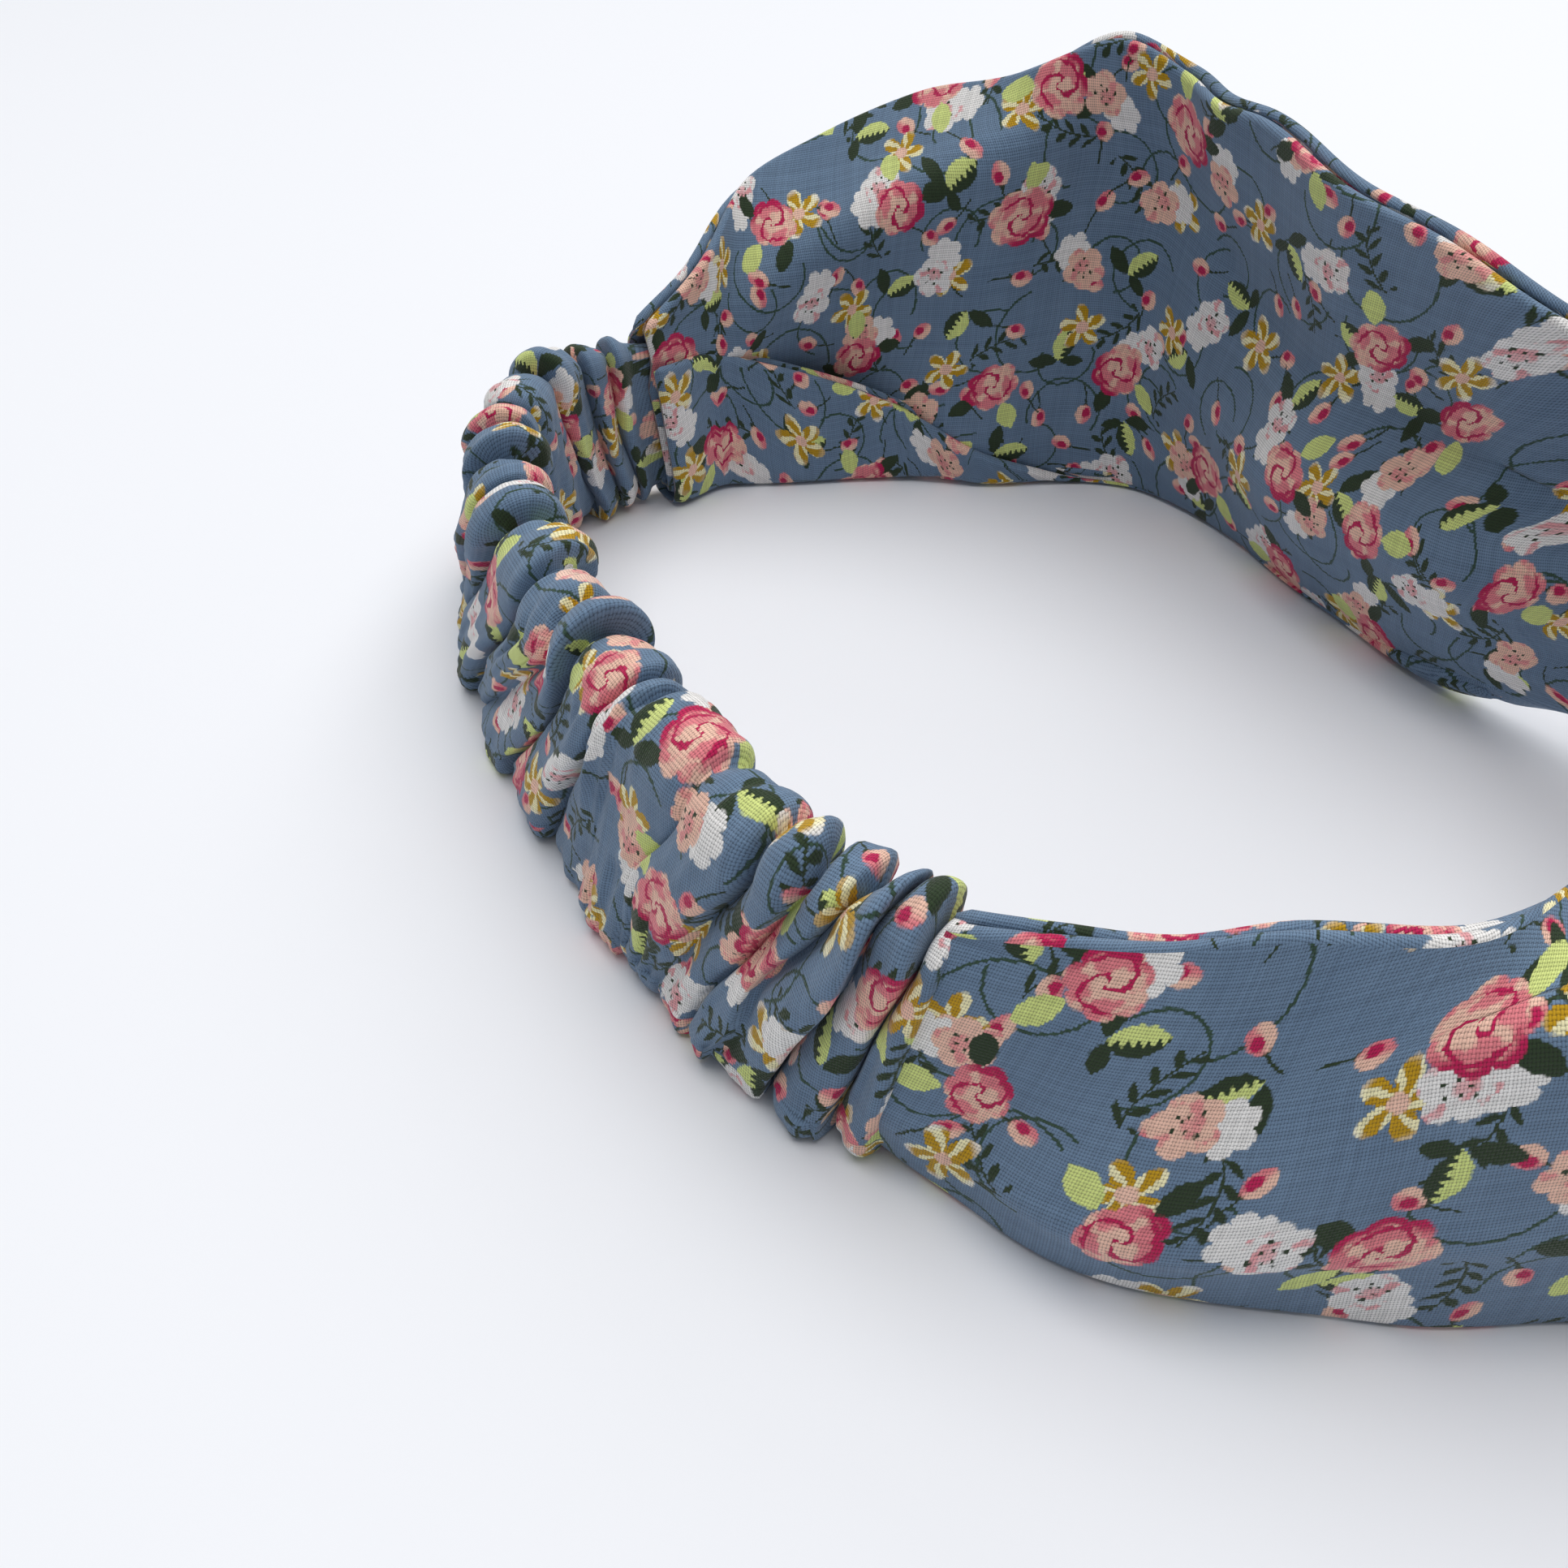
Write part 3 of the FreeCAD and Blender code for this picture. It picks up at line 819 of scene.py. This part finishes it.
def casing_line():
    """Lengths along the casing's fine middle line, its points, and directions to the head."""
    knots = lengths_along(CASING_LINE)
    ends = [end + (end - before) * LINE_REACH / np.linalg.norm(end - before)
            for end, before in (CASING_LINE[:2], CASING_LINE[:-3:-1])]
    plan = np.vstack([ends[0], CASING_LINE, ends[1]])
    knots = np.concatenate([[-LINE_REACH], knots, [knots[-1] + LINE_REACH]])
    line = hermite(knots, plan, np.linspace(knots[0], knots[-1], LINE_POINTS))
    for _ in range(LINE_ROUNDS):
        line[1:-1] = (line[:-2] + line[2:] + 2 * line[1:-1]) / 4
    lengths = lengths_along(line)
    _, inward = plan_frame(line)
    return lengths - LINE_REACH, line, inward


def place_on_casing(s, a, b):
    """Points from length along the casing, distance towards the head and height."""
    lengths, line, inward = casing_line()
    x, y, nx, ny = (np.interp(s, lengths, column) for column in (*line.T, *inward.T))
    size = np.hypot(nx, ny)
    a = a + CASING_LEAN * (b - CASING_WIDTH / 2) / CASING_WIDTH
    return np.stack([x + nx / size * a, y + ny / size * a, b], axis=-1)


def casing_ring(count):
    """Flat oval round the elastic: offsets, outward directions and place round it."""
    straight = CASING_CORE_HEIGHT - 2 * CORE_HALF
    radius = CORE_HALF + MEAN_LIFT
    bend = math.pi * radius
    total = 2 * (straight + bend)
    q = np.arange(count) / count * total
    a, b, na, nb = (np.zeros(count) for _ in range(4))
    for k, place in enumerate(q):
        # the outer face and over the top; then the same again, turned round
        side = -1.0 if place < straight + bend else 1.0
        place -= (side > 0) * (straight + bend)
        if place < straight:
            na[k], b[k] = side, side * (straight / 2 - place)
            a[k] = side * CORE_HALF
        else:
            turn = (place - straight) / radius
            na[k], nb[k] = side * math.cos(turn), -side * math.sin(turn)
            a[k], b[k] = na[k] * CORE_HALF, nb[k] * CORE_HALF - side * straight / 2
    return a, b, na, nb, q, total


def fold_profile(share, depth, lean, width, height):
    """One gather across its width: place along the casing and height above the core."""
    arch = np.sin(math.pi * np.clip(share, 0.0, 1.0)**CREST)
    pinch = PINCH * depth
    along = share - pinch * np.sin(2 * math.pi * share) / (2 * math.pi)
    flatness = 0.95 - 0.35 * ramp(width, 6.0, 12.0)      # a wide gather has a flatter top
    rise = np.maximum(arch, 1e-9)**flatness
    lift = height * (1.0 - depth + depth * rise)
    return along * width - lean * depth * arch**1.6, lift


def valley_lines(level, q, total):
    """Where each valley runs at every place round the casing, and how deep it is there."""
    draw = np.random.default_rng(WANDER_SEED)
    up = (level + 1) / 2
    valley = GATHERS[:, 1:2] * (1 - up) + GATHERS[:, 0:1] * up
    for harmonic in (1, 2, 3, 5):
        swing = draw.normal(0, 1.0 / harmonic**0.7, (len(GATHERS), 1))
        phase = draw.uniform(0, 6.28, (len(GATHERS), 1))
        swing[[0, -1]] = 0.0
        swing[[1, 2, -3, -2]] *= 0.4
        valley = valley + swing * np.sin(2 * math.pi * harmonic * q / total + phase)
    for k in range(1, len(GATHERS)):
        valley[k] = np.maximum(valley[k], valley[k - 1] + VALLEY_SPACING)
    share = ramp(up, 0.05, 0.95)
    depth = GATHERS[:, 2:3] * (1 - share) + GATHERS[:, 3:4] * share
    return valley, np.clip(depth, 0.08, 1.0)


def casing_grid():
    """The gathered tube: places along the casing, heights over its core, cloth lengths."""
    a, b, na, nb, q, total = casing_ring(CASING_ROUND)
    level = b / (CASING_CORE_HEIGHT / 2)                     # -1 at the foot, 1 at the top
    valley, depth = valley_lines(level, q, total)
    rings, lifts, cloth = [], [], []
    run_so_far = 0.0
    fine = np.linspace(0, 1, 200)
    for k in range(len(GATHERS) - 1):
        width = valley[k + 1] - valley[k]
        height, lean = GATHERS[k, 4], GATHERS[k, 5]
        before = GATHERS[max(k - 1, 0), 4]
        after = GATHERS[min(k + 1, len(GATHERS) - 2), 4]
        mean_depth = (depth[k].mean() + depth[k + 1].mean()) / 2
        path = fold_profile(fine, mean_depth, lean, width.mean(), height)
        run = np.concatenate([[0], np.cumsum(np.hypot(np.diff(path[0]), np.diff(path[1])))])
        points = max(10, int(run[-1] / GATHER_STEP))
        for reach in np.linspace(0, run[-1], points + 1)[:-1]:
            share = np.interp(reach, run, fine)
            local = depth[k] * (1 - share) + depth[k + 1] * share
            toward = share - 0.5
            beside = after if toward > 0 else before
            tall = height * (1 - abs(toward)) + beside * abs(toward)
            tall = tall * (1.0 + 0.16 * np.sin(4 * math.pi * q / total + k * 2.4))
            along, lift = fold_profile(share, local, lean, width, tall)
            rings.append(valley[k] + along)
            lifts.append(lift)
            cloth.append(run_so_far + reach)
        run_so_far += run[-1]
    return np.array(rings), np.array(lifts), np.array(cloth), (a, b, na, nb, q, total)


def make_casing():
    """The ruched tube, with small wrinkles, its ends tucked in between the wraps' legs."""
    s, lift, cloth, (a, b, na, nb, q, total) = casing_grid()
    lean_of_ring = s - s.mean(axis=1, keepdims=True)
    u = cloth[:, None] + lean_of_ring
    v = np.repeat(q[None], len(s), axis=0)
    # small wrinkles run with the gathers
    patch = 0.35 + 0.65 * ramp(waves(u, v, 34, 22.0), -0.3, 0.7)
    wrinkle = waves(cloth[:, None], v * 0.22, 31, 3.4) * 0.42 * patch
    wrinkle = wrinkle + waves(u, v * 0.6, 32, 1.9) * 0.07
    crease = np.exp(-(waves(cloth[:, None], v * 0.25, 35, 8.0) / 0.3)**2)
    wrinkle = wrinkle - 0.75 * crease * ramp(waves(u, v, 36, 18.0), -0.2, 0.6)
    lift = np.maximum(lift + wrinkle * np.clip(lift - 0.6, 0.0, 1.0), 0.1)
    end = np.minimum(cloth, cloth[-1] - cloth)
    lift = lift * (0.35 + 0.65 * ramp(end, 0.0, 4.0))[:, None]
    across = a + na * lift
    height = b + nb * lift * 1.1 + CASING_WIDTH / 2
    # tuck the ends in
    s = s - (TUCK * (1 - ramp(cloth, 0.0, 2.0)))[:, None]
    s = s + (TUCK * (1 - ramp(cloth[-1] - cloth, 0.0, 2.0)))[:, None]
    points = place_on_casing(s, across, height)
    points = settled(points) + PLAN_SHIFT
    piece = closed_tube("casing_cloth", points[:, ::-1], u[:, ::-1], -v[:, ::-1], [COTTON])
    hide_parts("elastic_casing")
    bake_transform(piece)
    total / 2 * MM
    cloth[-1] * MM


make_casing()


# ---- elastic and thread ----------------------------------------------------------------
def plain_cloth_material(name, colour, dark, pitch_u, pitch_v, roughness):
    """Ribbed or twisted fibre: two crossing ripples that shade the colour and lift the light."""
    material, surface, u, v = cloth_material(name)
    rib = sine(v * (2 * math.pi / pitch_v)) * 0.5 + 0.5
    slant = abs(sine(v * (math.pi / pitch_v))) * pitch_u * 0.4
    loop = sine((u + slant) * (2 * math.pi / pitch_u)) * 0.5 + 0.5
    height = rib * 0.6 + loop * 0.4
    tone = mix(soft(height + noise(u, v, 1.2, 3.0) * 0.4, 0.2, 1.2), dark, colour)
    feed(surface, {"Base Color": tone, "Roughness": roughness, "Sheen Weight": 0.15})
    raise_threads(surface, height, 0.5, 0.00015)
    return material


ELASTIC_LOW, ELASTIC_HIGH = 3.0, 25.0
ELASTIC_PLY = 1.3
ELASTIC_TUCK = 4.2           # the elastic goes this far past the casing's ends
RIB_PITCH = 1.6
RIB_HEIGHT = 0.25
ELASTIC_ROWS, ELASTIC_COLUMNS = 150, 40
CASING_LENGTH = GATHERS[-1, :2].mean()
ELASTIC = plain_cloth_material("knitted_elastic", linear(232, 232, 228), linear(186, 186, 184),
                               1.1, RIB_PITCH, 0.8)
THREAD = plain_cloth_material("sewing_thread", linear(92, 112, 140), linear(60, 78, 104),
                              0.5, 0.4, 0.55)


def make_elastic():
    """Knitted strip inside the casing, its ends sewn in with the casing's."""
    s, b = np.meshgrid(np.linspace(-ELASTIC_TUCK, CASING_LENGTH + ELASTIC_TUCK, ELASTIC_ROWS),
                       np.linspace(ELASTIC_LOW, ELASTIC_HIGH, ELASTIC_COLUMNS), indexing="ij")
    grid = place_on_casing(s, np.zeros_like(s), b)
    ribs = (np.sin(b * 2 * math.pi / RIB_PITCH) * 0.5 + 0.5) * RIB_HEIGHT
    piece, long, wide = thick_strip("elastic_strip", grid, ELASTIC_PLY, [ELASTIC],
                                    ribs - RIB_HEIGHT)
    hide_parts("elastic")
    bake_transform(piece)
    wide * MM
    long * MM


STITCH_SIDES = 6             # sides of the thread
STITCH_RINGS = 6             # rings of points along one stitch
STITCH_RADIUS = 0.17
STITCH_TIP = 0.45            # a stitch's two ends, as a share of that radius
STITCH_FACET = 0.18          # one side's width in the thread's own print
STITCH_PITCH = 2.4
STITCH_LENGTH = 1.7
STITCH_START = 0.3           # from the end of a row to its first stitch


def stitches(name, node, runs):
    """Rows of short stitches along lines of points, as one piece."""
    points, faces, uv = [], [], []
    last = STITCH_RINGS - 1
    for run in runs:
        run = np.asarray(run)
        reach = lengths_along(run)
        for start in np.arange(STITCH_START, reach[-1] - STITCH_LENGTH, STITCH_PITCH):
            at = start + np.linspace(0, STITCH_LENGTH, STITCH_RINGS)
            line = np.stack([np.interp(at, reach, run[:, k]) for k in range(3)], axis=1)
            along = line[-1] - line[0]
            along = along / np.linalg.norm(along)
            side = np.cross(along, (0.3, 0.2, 0.93))
            side /= np.linalg.norm(side)
            up = np.cross(side, along)
            base = len(points)
            for j, middle in enumerate(line):
                radius = STITCH_RADIUS * (STITCH_TIP if j in (0, last) else 1.0)
                for k in range(STITCH_SIDES):
                    turn = 2 * math.pi * k / STITCH_SIDES
                    points.append(middle + radius * (side * math.cos(turn) + up * math.sin(turn)))
            for j in range(last):
                here = base + j * STITCH_SIDES
                there = here + STITCH_SIDES
                for k in range(STITCH_SIDES):
                    n = (k + 1) % STITCH_SIDES
                    low, high = k * STITCH_FACET, (k + 1) * STITCH_FACET
                    faces.append((here + k, here + n, there + n, there + k))
                    uv += [(at[j], low), (at[j], high), (at[j + 1], high), (at[j + 1], low)]
            for j, order in ((0, -1), (last, 1)):
                cap = range(STITCH_SIDES)[::order]
                faces.append(tuple(base + j * STITCH_SIDES + k for k in cap))
                uv += [(at[j], k * STITCH_FACET) for k in cap]
    piece = mesh_object(name, np.array(points) + PLAN_SHIFT, faces, uv, [THREAD])
    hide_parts(node)
    return piece


THREAD_LIFT = 0.05           # a stitch's middle line lies this far off its cloth
SEAM_COLUMN = 26             # column of a wrap's mesh that its long seam follows
SEAM_START = 12              # rows from the join to the seam's first stitch
SEAM_STOP = 45               # rows from the knot's middle to its last one
SEAM_HEIGHT = 8.0            # of the casing's long seam, above the casing's foot


def wrap_stitching(side, grid):
    """Join stitches, and the long seam, on the hidden faces of a wrap's two legs."""
    normal = grid_normals(grid)
    rows = len(grid)
    half = rows // 2
    facing = np.sign(((grid[rows - 6] - grid[5]) * normal[5]).sum())
    hidden = grid + normal * facing * (PLY / 2 + THREAD_LIFT)
    joins = [hidden[3, 4:-5], hidden[rows - 4, 4:-5]]
    piece = stitches(side + "_join_stitches", side + "_join_stitching", joins)
    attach(piece, "band")
    seam = [hidden[SEAM_START:half - SEAM_STOP, SEAM_COLUMN],
            hidden[half + SEAM_STOP:rows - SEAM_START, SEAM_COLUMN]]
    piece = stitches(side + "_seam_stitches", side + "_wrap_seam", seam)
    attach(piece, "band")


def casing_stitching():
    """Tacks through the ends of the elastic, and the casing's own long seam."""
    b = np.linspace(ELASTIC_LOW + 1.0, ELASTIC_HIGH - 1.0, ELASTIC_COLUMNS)
    out = ELASTIC_PLY / 2 + THREAD_LIFT
    for side, s in (("near", -TUCK), ("far", CASING_LENGTH + TUCK)):
        rows = [place_on_casing(np.full_like(b, s), np.full_like(b, face * out), b)
                for face in (-1, 1)]
        piece = stitches(side + "_tack_stitches", side + "_elastic_tack", rows)
        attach(piece, "band")
    s = np.linspace(2.0, CASING_LENGTH - 2.0, 200)
    seam = place_on_casing(s, np.full_like(s, out + 0.1), np.full_like(s, SEAM_HEIGHT))
    piece = stitches("casing_seam_stitches", "casing_seam", [seam])
    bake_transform(piece)


make_elastic()
for side_name, wrap in (("near", NEAR_GRID), ("far", FAR_GRID)):
    wrap_stitching(side_name, wrap)
casing_stitching()


# ---- stage -----------------------------------------------------------------------------
FLOOR_HALF = 3.0                         # in metres, as the lights are
FLOOR_COLOUR = (0.878, 0.897, 0.94, 1.0)
CAMERA_PLACE = np.array([-148.0, 39.0, 120.0])
CAMERA_PITCH = 40.0                      # degrees down
HALF_VIEW = 0.4987                       # tangent of half the camera's angle of view


def floor():
    mesh = bpy.data.meshes.new("floor")
    low, high = -FLOOR_HALF, FLOOR_HALF
    mesh.from_pydata([(low, low, 0), (high, low, 0), (high, high, 0), (low, high, 0)],
                     [], [(0, 1, 2, 3)])
    plane = new_object("floor", mesh)
    material = bpy.data.materials.new("white_table")
    material.use_nodes = True
    feed(material.node_tree.nodes["Principled BSDF"],
         {"Base Color": FLOOR_COLOUR, "Roughness": 0.7})
    mesh.materials.append(material)


def area_light(name, place, size, power, colour):
    """Square light that faces the origin."""
    lamp = bpy.data.lights.new(name, "AREA")
    lamp.size = size
    lamp.energy = power
    lamp.color = colour
    held = new_object(name, lamp)
    held.location = place
    held.rotation_euler = (-Vector(place)).to_track_quat("-Z", "Y").to_euler()


def studio():
    floor()
    area_light("ceiling_light", (0.2, -0.05, 1.3), 1.6, 19.5, (1.0, 0.99, 0.98))
    area_light("window_light", (2.4, -1.2, 1.8), 1.2, 14.0, (1.0, 0.985, 0.97))
    world = bpy.data.worlds.new("studio_air")
    world.use_nodes = True
    feed(world.node_tree.nodes["Background"],
         {"Color": (0.93, 0.96, 1.0, 1.0), "Strength": 0.25})
    SCENE.world = world
    SCENE.view_settings.view_transform = "Standard"
    eye = bpy.data.cameras.new("camera")
    eye.sensor_fit = "HORIZONTAL"
    eye.angle = 2.0 * math.atan(HALF_VIEW)
    eye.clip_start = 0.005
    camera = new_object("camera", eye)
    camera.location = ((CAMERA_PLACE + PLAN_SHIFT) * MM).tolist()
    camera.rotation_euler = (math.radians(90.0 - CAMERA_PITCH), 0.0, math.radians(-90.0))
    SCENE.camera = camera


studio()
